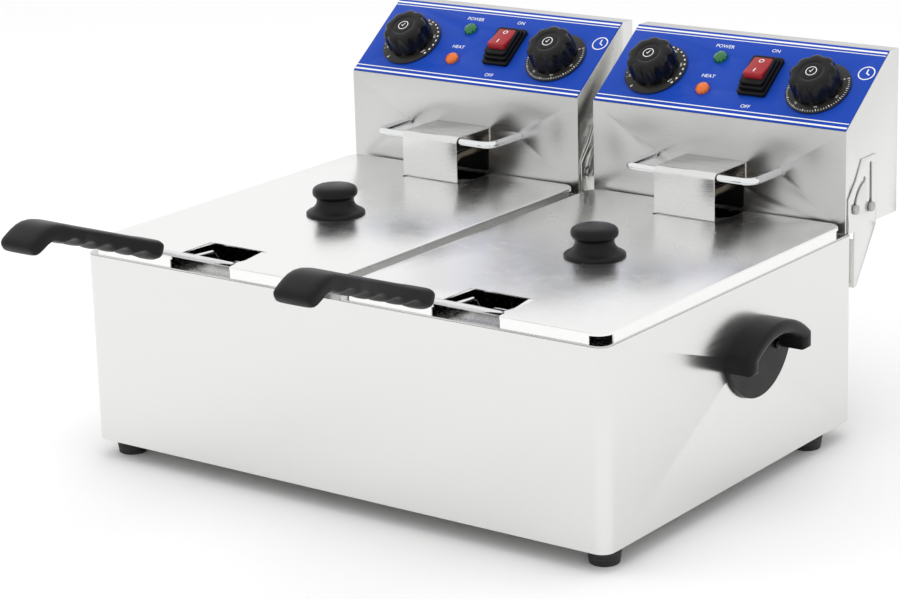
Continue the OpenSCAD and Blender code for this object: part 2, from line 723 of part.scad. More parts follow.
// Wire frame: a crossbar in front of the basket, with two arms that close in on the grip and
// two thinner stays that run back from the crossbar and down the basket's front
arm_in = 11;            // half the spacing of the arms inside the grip
stay_x = 25;            // half the spacing of the stays
stay_d = 4;
stay_l = 60;            // length of a stay on the basket's front
grip_dir = [0, -cos(grip_angle), sin(grip_angle)];
module handle_wires(s) color("#cfd1d3") half(s) {
  near = [arm_in, grip_y, grip_z];
  arm = [near + grip_dir * grip_hold, near, [frame_w / 2, bar_y, bar_z]];
  bent_rod(concat(arm, [for (i = [2:-1:0]) mirrored(arm[i])]), wire_d, wire_d);
  stay_y = basket_front - stay_d / 2 - 0.2;
  for (m = [-1, 1])
    bent_rod([
      [m * stay_x, bar_y, bar_z], [m * stay_x, well_front + 12, bar_z - 2],
      [m * stay_x, stay_y, rim_z - 16], [m * stay_x, stay_y, rim_z - stay_l]], 6, stay_d);
}

// Grip outline: along the grip and out of its top, from its near end
groove_n = 5;
groove_r = 17;
module grip_outline()
  difference() {
    polygon([[0, grip_t / 2 - 4], [6, grip_t / 2], [grip_l - 24, grip_t / 2], [grip_l - 18, grip_t / 2 - 1],
             [grip_l, -13], paddle_tip, [grip_l - 6, -paddle_l + grip_t / 2 + 2],
             [grip_l - 20, -paddle_l + grip_t / 2 + 2], [grip_l - 36, -grip_t / 2], [4, -grip_t / 2],
             [0, -grip_t / 2 + 4]]);
    for (i = [0:groove_n - 1])
      translate([24 + i * 24, -grip_t / 2 - groove_r + 3.4]) circle(groove_r, $fn = 64);
  }

module grip(s) color("#1e1e1e") half(s)
  translate([0, grip_y, grip_z]) mirror([0, 1, 0]) rotate([grip_angle, 0, 0])
    side_plate(-grip_w / 2, grip_w) grip_outline();

cabinet_shell();
base_plate();
deck();
feet();
foot_screws();
side_handle(left);  // side_handle_left
side_handle(right);  // side_handle_right
handle_screws();
tank(left);  // tank_left
tank(right);  // tank_right
bracket(left, left);  // bracket_left_outer
bracket(left, right);  // bracket_left_inner
bracket(right, left);  // bracket_right_inner
bracket(right, right);  // bracket_right_outer
head_shell(left);  // head_shell_left
head_shell(right);  // head_shell_right
head_back(left);  // head_back_left
head_back(right);  // head_back_right
fascia(left);  // fascia_left
fascia(right);  // fascia_right
control(left, -knob_x, 34, 38);  // thermostat_left
control(right, -knob_x, 34, 38);  // thermostat_right
control(left, knob_x, 40, 30);  // timer_left
control(right, knob_x, 40, 30);  // timer_right
knob(left, -knob_x);  // thermostat_knob_left
knob(right, -knob_x);  // thermostat_knob_right
knob(left, knob_x);  // timer_knob_left
knob(right, knob_x);  // timer_knob_right
switch_housing(left);  // switch_housing_left
switch_housing(right);  // switch_housing_right
rocker(left);  // rocker_left
rocker(right);  // rocker_right
lamp(left, lamp_high, "#1f9a4d");  // power_lamp_left
lamp(right, lamp_high, "#1f9a4d");  // power_lamp_right
lamp(left, lamp_low, "#f08a1c");  // heat_lamp_left
lamp(right, lamp_low, "#f08a1c");  // heat_lamp_right
element(left);  // element_left
element(right);  // element_right
sensor(left);  // sensor_left
sensor(right);  // sensor_right
guard(left);  // guard_left
guard(right);  // guard_right
hanger_rod(left);  // hanger_rod_left
hanger_rod(right);  // hanger_rod_right
tilt_screws(left);  // tilt_screws_left
tilt_screws(right);  // tilt_screws_right
cable_gland(left);  // cable_gland_left
cable_gland(right);  // cable_gland_right
lid(left);  // lid_left
lid(right);  // lid_right
lid_knob(left);  // lid_knob_left
lid_knob(right);  // lid_knob_right
lid_screw(left);  // lid_screw_left
lid_screw(right);  // lid_screw_right
basket(left);  // basket_left
basket(right);  // basket_right
handle_wires(left);  // handle_wires_left
handle_wires(right);  // handle_wires_right
grip(left);  // grip_left
grip(right);  // grip_right
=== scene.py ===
"""Twin-tank countertop deep fryer: its finishes and finer shapes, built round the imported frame."""
import json
from math import acos, atan2, cos, pi, radians, sin, sqrt, tan

import bmesh
import bpy
from mathutils import Matrix, Vector


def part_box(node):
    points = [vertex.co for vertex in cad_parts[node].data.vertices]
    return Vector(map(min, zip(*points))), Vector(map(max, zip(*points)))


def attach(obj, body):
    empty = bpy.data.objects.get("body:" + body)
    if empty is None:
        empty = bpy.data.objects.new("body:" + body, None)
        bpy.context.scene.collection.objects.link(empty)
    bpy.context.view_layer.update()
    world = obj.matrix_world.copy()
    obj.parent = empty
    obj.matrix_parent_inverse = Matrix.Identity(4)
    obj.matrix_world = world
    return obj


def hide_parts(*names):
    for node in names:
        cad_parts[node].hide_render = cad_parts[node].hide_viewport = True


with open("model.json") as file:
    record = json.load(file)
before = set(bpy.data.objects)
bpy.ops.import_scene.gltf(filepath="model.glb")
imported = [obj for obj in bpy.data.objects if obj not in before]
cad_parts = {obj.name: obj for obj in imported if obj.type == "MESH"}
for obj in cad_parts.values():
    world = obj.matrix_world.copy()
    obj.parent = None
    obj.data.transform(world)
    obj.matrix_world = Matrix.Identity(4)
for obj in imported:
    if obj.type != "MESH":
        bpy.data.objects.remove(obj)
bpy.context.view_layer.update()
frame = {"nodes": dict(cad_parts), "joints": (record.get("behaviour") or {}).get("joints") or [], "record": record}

MM = 0.001
SIDES = ("left", "right")

# ---------------------------------------------------------------- places

# Shapes are drawn in millimetres, with Y from the cabinet's front and Z from its bottom edge.
shell_low, shell_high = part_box("cabinet_shell")
CABINET = Matrix.Translation((0, shell_low.y, shell_low.z)) @ Matrix.Scale(MM, 4)
JOINTS = {joint["name"]: joint for joint in frame["joints"]}


def box(node):
    """Lowest and highest corner of a CAD node, in millimetres in the cabinet's frame."""
    low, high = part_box(node)
    return CABINET.inverted() @ low, CABINET.inverted() @ high


def half(side):
    """The cabinet's frame, moved to the middle of one lid."""
    low, high = box(f"lid_{side}")
    return CABINET @ Matrix.Translation(((low.x + high.x) / 2, 0, 0))


KNOB_LINE = 45          # distance of the knobs up the panel, from the bend below it


def on_knob(side, control):
    """X along the panel, Y up its slope and Z straight out of it, at one control's shaft."""
    joint = JOINTS[f"{control}_turn_{side}"]
    out = Vector(joint["axis"])
    up = out.cross(Vector((1, 0, 0)))
    turned = Matrix((Vector((1, 0, 0)), up, out)).transposed().to_4x4()
    return Matrix.Translation(joint["pos_m"]) @ turned @ Matrix.Scale(MM, 4)


def panel(side):
    """The same axes, from the middle of the panel's lower edge."""
    ends = [on_knob(side, control).translation for control in ("thermostat", "timer")]
    place = on_knob(side, "timer")
    place.translation = (ends[0] + ends[1]) / 2
    return place @ Matrix.Translation((0, -KNOB_LINE, 0))


# ---------------------------------------------------------------- finishes

def linear(hex_colour):
    """An sRGB hex colour as a linear one."""
    parts = [int(hex_colour[i:i + 2], 16) / 255 for i in (1, 3, 5)]
    return [p / 12.92 if p <= 0.04045 else ((p + 0.055) / 1.055) ** 2.4 for p in parts] + [1]


def add(tree, kind, inputs=None, **settings):
    """Adds a node with its settings; an input is a value, or another node's output."""
    made = tree.nodes.new("ShaderNode" + kind)
    for name, value in settings.items():
        setattr(made, name, value)
    for name, value in (inputs or {}).items():
        if isinstance(value, bpy.types.NodeSocket):
            tree.links.new(value, made.inputs[name])
        else:
            made.inputs[name].default_value = value
    return made


def surface(name, colour, **values):
    """A new material and its tree, shader and object coordinates, with the shader's own values set."""
    made = bpy.data.materials.new(name)
    made.use_nodes = True
    tree = made.node_tree
    shader = tree.nodes["Principled BSDF"]
    shader.inputs["Base Color"].default_value = linear(colour)
    for key, value in values.items():
        shader.inputs[key.replace("_", " ")].default_value = value
    return made, tree, shader, add(tree, "TexCoord").outputs["Object"]


def noise(tree, where, size_mm, detail=2.0):
    """Noise whose features are size_mm across, along X, Y and Z."""
    spread = add(tree, "Mapping", {"Vector": where, "Scale": [1 / (s * MM) for s in size_mm]})
    return add(tree, "TexNoise", {"Vector": spread.outputs["Vector"], "Scale": 1.0, "Detail": detail})


def vary(tree, value, low, high):
    """A value from a pattern, spread from low to high."""
    return add(tree, "MapRange", {"Value": value, "From Min": 0.3, "From Max": 0.7,
                                  "To Min": low, "To Max": high}).outputs["Result"]


def steel(name, colour, rough, grain_mm, groove_mm, wave_mm):
    """Stainless sheet. Its rolled or brushed grain streaks the roughness and the surface, and a
    slow wave of the thin metal bends what it mirrors."""
    made, tree, shader, where = surface(name, colour, Metallic=1.0)
    grain = noise(tree, where, grain_mm)
    tree.links.new(vary(tree, grain.outputs["Fac"], rough * 0.9, rough * 1.1), shader.inputs["Roughness"])
    slow = noise(tree, where, (120, 120, 120), 0.0)
    waved = add(tree, "Bump", {"Height": slow.outputs["Fac"], "Strength": 1.0, "Distance": wave_mm * MM})
    scored = add(tree, "Bump", {"Height": grain.outputs["Fac"], "Strength": 1.0,
                                "Distance": groove_mm * MM, "Normal": waved.outputs["Normal"]})
    tree.links.new(scored.outputs["Normal"], shader.inputs["Normal"])
    return made


# Bright annealed stainless sheet, rolled and lightly buffed: pale, soft reflections, hardly a grain
cabinet_steel = steel("bright_annealed_stainless", "#E2E2E0", 0.22, (160, 160, 2), 0.0001, 0.04)
# Mill-finished sheet: duller, greyer and even
mill_steel = steel("mill_finished_stainless", "#BDBDBB", 0.38, (3, 3, 3), 0.001, 0.05)
# Deep-drawn stainless, satin inside, with soft marks of the draw down the walls
drawn_steel = steel("deep_drawn_stainless", "#D2D2D0", 0.27, (3, 3, 60), 0.001, 0.1)
# Brushed along its width with a fine belt: hairlines half a millimetre apart smear reflections upright
brushed_steel = steel("belt_brushed_stainless", "#CBCBCA", 0.3, (60, 0.5, 0.5), 0.0016, 0.05)
# The same belt at a lighter grade on the small guards: brighter, with a finer line
guard_steel = steel("fine_brushed_stainless", "#E0E0DF", 0.26, (60, 0.4, 0.4), 0.001, 0.04)
# Buffed lid sheet: pale, with soft-edged reflections that waver a little
buffed_steel = steel("buffed_stainless", "#F3F3F2", 0.25, (14, 14, 14), 0.0001, 0.04)
# The inside of the guards: the same sheet, darkened as painted shade in their hollow
painted_shade_steel = steel("painted_shade_stainless", "#4A4947", 0.4, (60, 0.4, 0.4), 0.001, 0.04)
# Bright chrome on bent rod: black and white reflections, no grain
chrome = steel("bright_chrome_plate", "#E6E7E8", 0.06, (9, 9, 9), 0.0005, 0.02)
# Nickel-plated mesh wire, slightly dulled by oil and washing
nickel_wire = steel("nickel_plated_wire", "#C2C0BA", 0.25, (4, 4, 4), 0.001, 0.02)
# Zinc-plated screws and nuts: dull, a little uneven
zinc = steel("zinc_plated_screw", "#B4B5B2", 0.35, (1.5, 1.5, 1.5), 0.003, 0.02)
# Screws blackened with oil in the side handles
blackened = steel("black_oxide_screw", "#2A2A2A", 0.4, (1.5, 1.5, 1.5), 0.002, 0.02)


def stained(name, colour, rough, patch_mm, dark, light):
    """Bare metal stained in patches, from a dark shade to a light one."""
    made, tree, shader, where = surface(name, colour, Metallic=1.0, Roughness=rough)
    tint = add(tree, "ValToRGB", {"Fac": noise(tree, where, (patch_mm,) * 3, 3.0).outputs["Fac"]})
    for stop, shade in zip(tint.color_ramp.elements, (dark, light)):
        stop.color = linear(shade)
    tree.links.new(tint.outputs["Color"], shader.inputs["Base Color"])
    return made


# Heated stainless tube: straw and grey oxide bands in the metal
element_steel = stained("heat_tinted_stainless_tube", "#7C756C", 0.42, 30, "#5C5750", "#8F8474")
# Drawn copper bulb and capillary, browned by hot oil
copper = stained("oil_browned_copper", "#B9794F", 0.34, 12, "#8E5836", "#C88A5F")


def moulded(name, colour, rough, grit_mm, depth_mm, **values):
    """Moulded plastic or rubber: a fine even grit breaks the gloss, and slow patches vary it."""
    made, tree, shader, where = surface(name, colour, **values)
    grit = noise(tree, where, (grit_mm,) * 3)
    patch = noise(tree, where, (25, 25, 25), 1.0)
    tree.links.new(vary(tree, patch.outputs["Fac"], rough * 0.85, rough * 1.15), shader.inputs["Roughness"])
    bump = add(tree, "Bump", {"Height": grit.outputs["Fac"], "Strength": 1.0, "Distance": depth_mm * MM})
    tree.links.new(bump.outputs["Normal"], shader.inputs["Normal"])
    return made


# Compression-moulded bakelite, satin: near black with a broad soft sheen along its edges
handle_plastic = moulded("satin_bakelite", "#101010", 0.36, 1.2, 0.006, Specular_IOR_Level=0.2)
# Compression-moulded bakelite, semi-gloss: tighter highlights on the knobs
knob_plastic = moulded("semi_gloss_bakelite", "#0B0B0B", 0.24, 1.6, 0.004, Specular_IOR_Level=0.25)
# The knobs' printed skirts: the same, a little greyer and flatter
skirt_plastic = moulded("flat_bakelite_skirt", "#1E1D1B", 0.36, 1.0, 0.004, Specular_IOR_Level=0.3)
# Moulded silicone boot and nylon gland
boot_rubber = moulded("moulded_silicone_boot", "#0C0C0C", 0.4, 1.0, 0.006, Specular_IOR_Level=0.2)
# Moulded rubber feet
foot_rubber = moulded("moulded_rubber", "#202020", 0.6, 0.9, 0.02)
# Moulded polyester case of the thermostat and timer: dull ivory
control_case = moulded("moulded_polyester_case", "#B9B09A", 0.5, 1.2, 0.01)
# Screen-printed polyester foil with a fine matt texture: deep even blue
blue_foil = moulded("blue_printed_polyester_foil", "#1B44AA", 0.36, 0.8, 0.002, Specular_IOR_Level=0.12)
# White screen-print ink: flat and opaque
white_ink = moulded("white_screen_print_ink", "#F2F2EF", 0.5, 0.6, 0.002)
# Red polycarbonate rocker: deep glossy red
red_rocker = moulded("red_polycarbonate", "#9A1420", 0.22, 2.0, 0.003, Specular_IOR_Level=0.35)
# Cut acrylic lenses: the facets catch light at the edges and show deep colour in the middle
green_lens = moulded("green_acrylic_lens", "#0C7A3A", 0.12, 2.0, 0.002, IOR=1.49, Transmission_Weight=0.35,
                     Coat_Weight=0.5)
orange_lens = moulded("orange_acrylic_lens", "#F0720C", 0.12, 2.0, 0.002, IOR=1.49, Transmission_Weight=0.2,
                      Coat_Weight=0.5)


# ---------------------------------------------------------------- making pieces

def wear(piece, body, slot, *nodes):
    """Ties a finished piece to its CAD body, and to the nodes that it stands for. The slot is not used."""
    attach(piece, body)
    if nodes:
        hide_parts(*nodes)
    return piece


def make(name, bm, place, finish, body, slot, *nodes, sharp=35):
    """Turns a bmesh drawn in millimetres into a piece in its place, with its faces outwards."""
    bm.transform(place)
    bmesh.ops.remove_doubles(bm, verts=bm.verts, dist=0.00002)
    bmesh.ops.recalc_face_normals(bm, faces=bm.faces)
    mesh = bpy.data.meshes.new(name)
    bm.to_mesh(mesh)
    bm.free()
    mesh.polygons.foreach_set("use_smooth", [True] * len(mesh.polygons))
    mesh.set_sharp_from_angle(angle=radians(sharp))
    mesh.materials.append(finish)
    piece = bpy.data.objects.new(name, mesh)
    bpy.context.scene.collection.objects.link(piece)
    return wear(piece, body, slot, *nodes)


def round_edges(bm, width, steps=2, angle=30, where=None):
    """Rounds every edge that turns by more than an angle, or those of them that a test picks."""
    picked = [e for e in bm.edges if len(e.link_faces) == 2 and e.calc_face_angle(0) > radians(angle)
              and (where is None or where(e))]
    bmesh.ops.bevel(bm, geom=picked, offset=width, offset_type="OFFSET", segments=steps, profile=0.5,
                    affect="EDGES", material=-1, clamp_overlap=True)


def from_cad(node):
    """A merged copy of a CAD node in millimetres, with its flat faces whole."""
    bm = bmesh.new()
    bm.from_mesh(frame["nodes"][node].data)
    bm.transform(CABINET.inverted())
    bmesh.ops.remove_doubles(bm, verts=bm.verts, dist=0.004)
    bmesh.ops.dissolve_limit(bm, angle_limit=radians(0.4), verts=bm.verts, edges=bm.edges)
    return bm


def softened(node, width, finish, slot, sharp=35):
    """A CAD node's own shape with its sheared or moulded edges rounded."""
    bm = from_cad(node)
    round_edges(bm, width)
    return make(f"{node}_rounded", bm, CABINET, finish, BODY_OF[node], slot, node, sharp=sharp)


BODY_OF = {node: body for body, nodes in frame["record"]["behaviour"]["bodies"].items() for node in nodes}


def loft(count, stations, caps=(True, True)):
    """Skins a ring of points from one station to the next. A station gives a point for a turn."""
    bm = bmesh.new()
    mark = bm.verts.layers.int.new("turn")
    ring = bmesh.ops.create_circle(bm, segments=count, radius=1)["verts"]
    for number, vert in enumerate(sorted(ring, key=lambda v: atan2(v.co.y, v.co.x) % (2 * pi))):
        vert[mark] = number
    first = edges = list(bm.edges)
    for number, station in enumerate(stations):
        if number:
            made = bmesh.ops.extrude_edge_only(bm, edges=edges)["geom"]
            ring = [g for g in made if isinstance(g, bmesh.types.BMVert)]
            among = set(ring)
            edges = [g for g in made if isinstance(g, bmesh.types.BMEdge) and set(g.verts) <= among]
        for vert in ring:
            vert.co = station(vert[mark] / count)
    for wanted, rim in zip(caps, (first, edges)):
        if wanted:
            bmesh.ops.contextual_create(bm, geom=rim)
    return bm


def spun(profile, steps):
    """A turned solid, from a profile of (radius, height) that ends on its axis or closes on itself."""
    bm = bmesh.new()
    line = [bm.verts.new((r, 0, z)) for r, z in profile]
    edges = [bm.edges.new(pair) for pair in zip(line, line[1:])]
    bmesh.ops.spin(bm, geom=line + edges, cent=(0, 0, 0), axis=(0, 0, 1), angle=2 * pi, steps=steps,
                   use_merge=True)
    bmesh.ops.remove_doubles(bm, verts=bm.verts, dist=0.001)
    return bm


def join(bm, other):
    """Adds another bmesh to this one, and frees it."""
    part = bpy.data.meshes.new("part")
    other.to_mesh(part)
    other.free()
    bm.from_mesh(part)
    bpy.data.meshes.remove(part)


def eased(points, radius, steps=5):
    """The same outline or path with its inner corners rounded; a radius may be given for each corner."""
    points = [Vector(p) for p in points]
    radii = radius if isinstance(radius, (list, tuple)) else [radius] * len(points)
    path = [points[0]]
    for number in range(1, len(points) - 1):
        before, at, after = points[number - 1:number + 2]
        u, v = (at - before).normalized(), (after - at).normalized()
        turn = acos(max(-1, min(1, u.dot(v))))
        if turn < 0.01 or not radii[number]:
            path.append(at)
            continue
        bend = radii[number]
        start = at - u * bend * tan(turn / 2)
        across = (v - u * u.dot(v)).normalized()
        path += [start + bend * (u * sin(turn * i / steps) + across * (1 - cos(turn * i / steps)))
                 for i in range(steps + 1)]
    return path + [points[-1]]


def rods(name, runs, finish, body, slot, *nodes, place):
    """Round rods in one piece. Each run is its path, its diameter, and whether it closes on itself."""
    joined = bmesh.new()
    for path, diameter, loop in runs:
        curve = bpy.data.curves.new(name, "CURVE")
        curve.dimensions = "3D"
        curve.bevel_depth = diameter / 2
        curve.bevel_resolution = 4 if diameter > 2 else 1
        curve.use_fill_caps = not loop
        spline = curve.splines.new("POLY")
        spline.points.add(len(path) - 1)
        for point, at in zip(spline.points, path):
            point.co = (*at, 1)
        spline.use_cyclic_u = loop
        holder = bpy.data.objects.new(name, curve)
        mesh = bpy.data.meshes.new_from_object(holder)
        joined.from_mesh(mesh)
        bpy.data.objects.remove(holder)
        bpy.data.curves.remove(curve)
        bpy.data.meshes.remove(mesh)
    return make(name, joined, place, finish, body, slot, *nodes, sharp=50)


def corner_point(turn, half_w, half_d, r, steps):
    """A point on a rounded rectangle, whose four corners share out the turn."""
    number = round(turn * 4 * steps)
    corner, step = divmod(number % (4 * steps), steps)
    angle = (corner + step / (steps - 1)) * pi / 2
    sx, sy = ((1, 1), (-1, 1), (-1, -1), (1, -1))[corner]
    return sx * (half_w - r) + r * cos(angle), sy * (half_d - r) + r * sin(angle)


def slab(bm, w, l, h, z, r, soft):
    """A block with rounded upright corners and eased rims, standing on z."""
    made = bmesh.ops.create_cube(bm, size=1, matrix=Matrix.Translation((0, 0, z + h / 2))
                                 @ Matrix.Diagonal((w, l, h, 1)))["verts"]
    edges = {e for v in made for e in v.link_edges}
    upright = [e for e in edges if abs(e.verts[0].co.z - e.verts[1].co.z) > h / 2]
    bmesh.ops.bevel(bm, geom=upright, offset=r, offset_type="OFFSET", segments=6, profile=0.5,
                    affect="EDGES", material=-1)
    near = z + h / 2
    faces = [f for f in bm.faces if abs(f.calc_center_median().z - near) < h / 2 + 0.001]
    rims = {e for f in faces for e in f.edges if len(e.link_faces) == 2 and e.calc_face_angle(0) > 1.0
            and abs(e.verts[0].co.z - e.verts[1].co.z) < 0.001}
    bmesh.ops.bevel(bm, geom=list(rims), offset=soft, offset_type="OFFSET", segments=3, profile=0.5,
                    affect="EDGES", material=-1)


INK = 0.05              # thickness of printed ink


def print_text(bm, body, size, place, turn=0.0):
    """Printed letters or figures, centred on a place in the print's own frame."""
    curve = bpy.data.curves.new("print", "FONT")
    curve.body, curve.size, curve.align_x, curve.align_y = body, size, "CENTER", "CENTER"
    curve.extrude, curve.resolution_u = INK / 2, 3
    holder = bpy.data.objects.new("print", curve)
    mesh = bpy.data.meshes.new_from_object(holder)
    mesh.transform(Matrix.Translation(place) @ Matrix.Rotation(turn, 4, "Z"))
    bm.from_mesh(mesh)
    bpy.data.objects.remove(holder)
    bpy.data.curves.remove(curve)
    bpy.data.meshes.remove(mesh)


def print_bar(bm, length, width, place, turn=0.0):
    """A printed stroke."""
    bmesh.ops.create_cube(bm, size=1, matrix=Matrix.Translation(place) @ Matrix.Rotation(turn, 4, "Z")
                          @ Matrix.Diagonal((width, length, INK, 1)))


def print_ring(bm, radius, width, place):
    """A printed ring."""
    outer = bmesh.ops.create_circle(bm, segments=40, radius=radius, matrix=Matrix.Translation(place))
    rim = list({e for v in outer["verts"] for e in v.link_edges})
    made = bmesh.ops.extrude_edge_only(bm, edges=rim)["geom"]
    inner = [g for g in made if isinstance(g, bmesh.types.BMVert)]
    centre = Vector(place)
    for vert in inner:
        vert.co = centre + (vert.co - centre) * (radius - width) / radius
    faces = [g for g in made if isinstance(g, bmesh.types.BMFace)]
    bmesh.ops.solidify(bm, geom=faces, thickness=INK)


def print_dot(bm, radius, place):
    """A printed dot."""
    bmesh.ops.create_cone(bm, cap_ends=True, segments=16, radius1=radius, radius2=radius, depth=INK,
                          matrix=Matrix.Translation(place))


# ---------------------------------------------------------------- CAD nodes that keep their shape

KEPT = {"base_plate": mill_steel, "deck": mill_steel}
KEPT.update({f"{control}_{side}": control_case for side in SIDES for control in ("thermostat", "timer")})
for node, finish in KEPT.items():
    frame["nodes"][node].data.materials.clear()
    frame["nodes"][node].data.materials.append(finish)

# ---------------------------------------------------------------- cabinet

softened("cabinet_shell", 0.3, cabinet_steel, "cabinet_steel", sharp=25)
softened("foot_screws", 0.3, zinc, "zinc_screw")
softened("handle_screws", 0.3, blackened, "zinc_screw")
for edge in ("left_outer", "left_inner", "right_inner", "right_outer"):
    softened(f"bracket_{edge}", 0.25, cabinet_steel, "cabinet_steel")

# Rubber feet: turned, with a flared shoulder, two grip ribs and a recess for the screw's head
FOOT_R = 15.5
FOOT_PROFILE = [(6, -4.2), (6, -16.6), (12.4, -17), (12.9, -16.4), (13.3, -13.6), (12.9, -13.1),
                (13.5, -12.5), (13.9, -9.6), (13.5, -9.1), (14.1, -8.5), (14.6, -6.0), (14.2, -5.5),
                (15.0, -4.8), (FOOT_R, -3.2), (FOOT_R, -0.8), (14.9, 0), (2.1, 0), (2.1, -4.2), (6, -4.2)]
low, high = box("feet")
bm = bmesh.new()
for x in (low.x + FOOT_R, high.x - FOOT_R):
    for y in (low.y + FOOT_R, high.y - FOOT_R):
        foot = spun(FOOT_PROFILE, 48)
        foot.transform(Matrix.Translation((x, y, 0)))
        join(bm, foot)
make("turned_feet", bm, CABINET, foot_rubber, "cabinet", "rubber", "feet")

# Side handles: the hood's outer edge is rounded well over, and its back plate only a little
HOOD_X = (CABINET.inverted() @ shell_high).x + 20       # the hood's outer part starts here
HOOD_R, PLATE_R = 5.5, 0.9
for side in SIDES:
    bm = from_cad(f"side_handle_{side}")
    round_edges(bm, HOOD_R, 5, where=lambda e: all(abs(v.co.x) > HOOD_X for v in e.verts))
    round_edges(bm, PLATE_R, angle=50)
    make(f"moulded_side_handle_{side}", bm, CABINET, handle_plastic, "cabinet", "handle_plastic",
         f"side_handle_{side}", sharp=40)

# ---------------------------------------------------------------- tanks

CORNER_STEPS = 10
TANK_T = 1.1
TANK_FLOOR = 0.8        # height of the well's floor over the tank's lowest point
WELL = (120, 165)       # half the well's width and depth
WELL_Y = 203
WELL_R = 30             # corners of the well, from above
LIP_R = 4               # bend from the flange down into the well
SOLE_R = 18             # bend from the walls to the floor
FLOOR_R = 16            # corners of the floor, inside that bend
FLANGE_R = 10
for side in SIDES:
    low, high = box(f"tank_{side}")
    flange = ((high.x - low.x) / 2, (high.y - low.y) / 2)
    middle_x, middle_y = (low.x + high.x) / 2, (low.y + high.y) / 2
    floor_z = low.z + TANK_FLOOR

    def ring(half_w, half_d, r, z, y=middle_y):
        """A station round the tank: a rounded rectangle at one height."""
        def station(turn):
            px, py = corner_point(turn, half_w, half_d, r, CORNER_STEPS)
            return Vector((middle_x + px, y + py, z))
        return station

    lip = []
    for a in (0, 0.4, 0.8, 1.2, pi / 2):
        out, level = LIP_R * (1 - sin(a)), high.z - LIP_R * (1 - cos(a))
        lip.append(ring(WELL[0] + out, WELL[1] + out, WELL_R + out, level, WELL_Y))
    sole = []
    for a in (0, 0.35, 0.7, 1.05, 1.4, pi / 2):
        drawn_in, level = SOLE_R * (1 - cos(a)), floor_z + SOLE_R * (1 - sin(a))
        corner = WELL_R - (WELL_R - FLOOR_R) * (1 - cos(a))
        sole.append(ring(WELL[0] - drawn_in, WELL[1] - drawn_in, corner, level, WELL_Y))
    # The flange's cut edge, eased at the top
    edge = ((0, FLANGE_R, TANK_T), (0.15, FLANGE_R, 0.3), (0.5, FLANGE_R - 0.4, 0))
    outline = [ring(flange[0] - inset, flange[1] - inset, corner, high.z - drop)
               for inset, corner, drop in edge]
    bm = loft(4 * CORNER_STEPS, outline + lip + sole, caps=(False, True))
    bmesh.ops.recalc_face_normals(bm, faces=bm.faces)
    inside = [f for f in bm.faces if abs(f.normal.z) > 0.9 and f.calc_center_median().z < floor_z + 2]
    if inside and inside[0].normal.z < 0:
        bmesh.ops.reverse_faces(bm, faces=bm.faces)
    bmesh.ops.solidify(bm, geom=bm.faces, thickness=TANK_T)
    make(f"drawn_tank_{side}", bm, CABINET, drawn_steel, "cabinet", "tank_steel", f"tank_{side}", sharp=40)

# ---------------------------------------------------------------- heads

# Thickness of the dark sheet of painted shade behind each guard
PAINTED_BACKING_T = 0.8
FOIL_T = 0.8            # height of the printed foil's face over the steel panel
LETTER = 5.7
LABELS = {"POWER": (-30, 83.5), "HEAT": (-30, 45.5), "ON": (24, 84.5), "OFF": (24, 14.5)}
PANEL_LINES = ((3.6, 1.9), (8.6, 1.0), (96.0, 1.9), (92.4, 0.8))     # place up the panel, width
CLOCK = (124, 70)       # the dial printed beside the timer
for side in SIDES:
    body = f"head_{side}"
    bm = from_cad(f"head_shell_{side}")
    round_edges(bm, 0.5)
    shell = make(f"folded_head_{side}", bm, CABINET, brushed_steel, body, "head_steel", f"head_shell_{side}",
                 sharp=30)
    # The sides are left bright; only the front is brushed
    shell.data.materials.append(cabinet_steel)
    for face in shell.data.polygons:
        face.material_index = 1 if abs(face.normal.x) > 0.7 else 0
    softened(f"head_back_{side}", 0.2, mill_steel, "plain_steel")
    guard = softened(f"guard_{side}", 0.35, guard_steel, "head_steel", sharp=30)
    # Its inside and underside are painted dark: painted shade in the hollow of the guard
    guard.data.materials.append(painted_shade_steel)
    for face in guard.data.polygons:
        if face.normal.y > 0.7 or face.normal.z < -0.7:
            face.material_index = 1

    # A dark rubber sheet behind the guard, round the element and the sensor tube where they enter the head:
    # painted shade standing for the shadowed opening there
    low, high = box(f"guard_{side}")
    painted_backing = bmesh.new()
    width, top, bottom = high.x - low.x - 4, high.z - 5, box(f"lid_{side}")[1].z + 1
    slab(painted_backing, width, top - bottom, PAINTED_BACKING_T, 0, 4, 0.2)
    painted_backing.transform(Matrix.Translation(((low.x + high.x) / 2, high.y, (top + bottom) / 2))
                     @ Matrix.Rotation(pi / 2, 4, "X"))
    make(f"shade_sheet_behind_guard_{side}", painted_backing, CABINET, boot_rubber, body, "switch_black", sharp=40)
    softened(f"tilt_screws_{side}", 0.5, zinc, "zinc_screw")
    softened(f"cable_gland_{side}", 0.6, boot_rubber, "switch_black")
    softened(f"lid_screw_{side}", 0.3, zinc, "zinc_screw")
    softened(f"fascia_{side}", 0.15, blue_foil, "blue_panel")

    low, high = box(f"fascia_{side}")
    line_length = high.x - low.x - 0.6
    face = FOIL_T + INK / 2
    bm = bmesh.new()
    for up, width in PANEL_LINES:
        print_bar(bm, line_length, width, (0, up, face), pi / 2)
    for label, at in LABELS.items():
        print_text(bm, label, LETTER, (*at, face))
    clock = Vector((*CLOCK, face))
    print_ring(bm, 8.2, 1.1, clock)
    print_bar(bm, 5.4, 1.2, clock + Vector((0, 2.2, 0)))
    print_bar(bm, 4.2, 1.2, clock + Vector((1.6, -0.9, 0)), radians(60))
    make(f"panel_print_{side}", bm, panel(side), white_ink, body, "blue_panel", sharp=30)

# ---------------------------------------------------------------- knobs

FLUTES = 9


def fluted(radius, z, depth):
    """A ring round the cap, waved by its finger flutes."""
    def station(turn):
        wave = (1 - cos(2 * pi * turn * FLUTES)) / 2
        r = radius - depth * (1 - wave) ** 1.6
        return Vector((r * cos(2 * pi * turn), r * sin(2 * pi * turn), z))
    return station


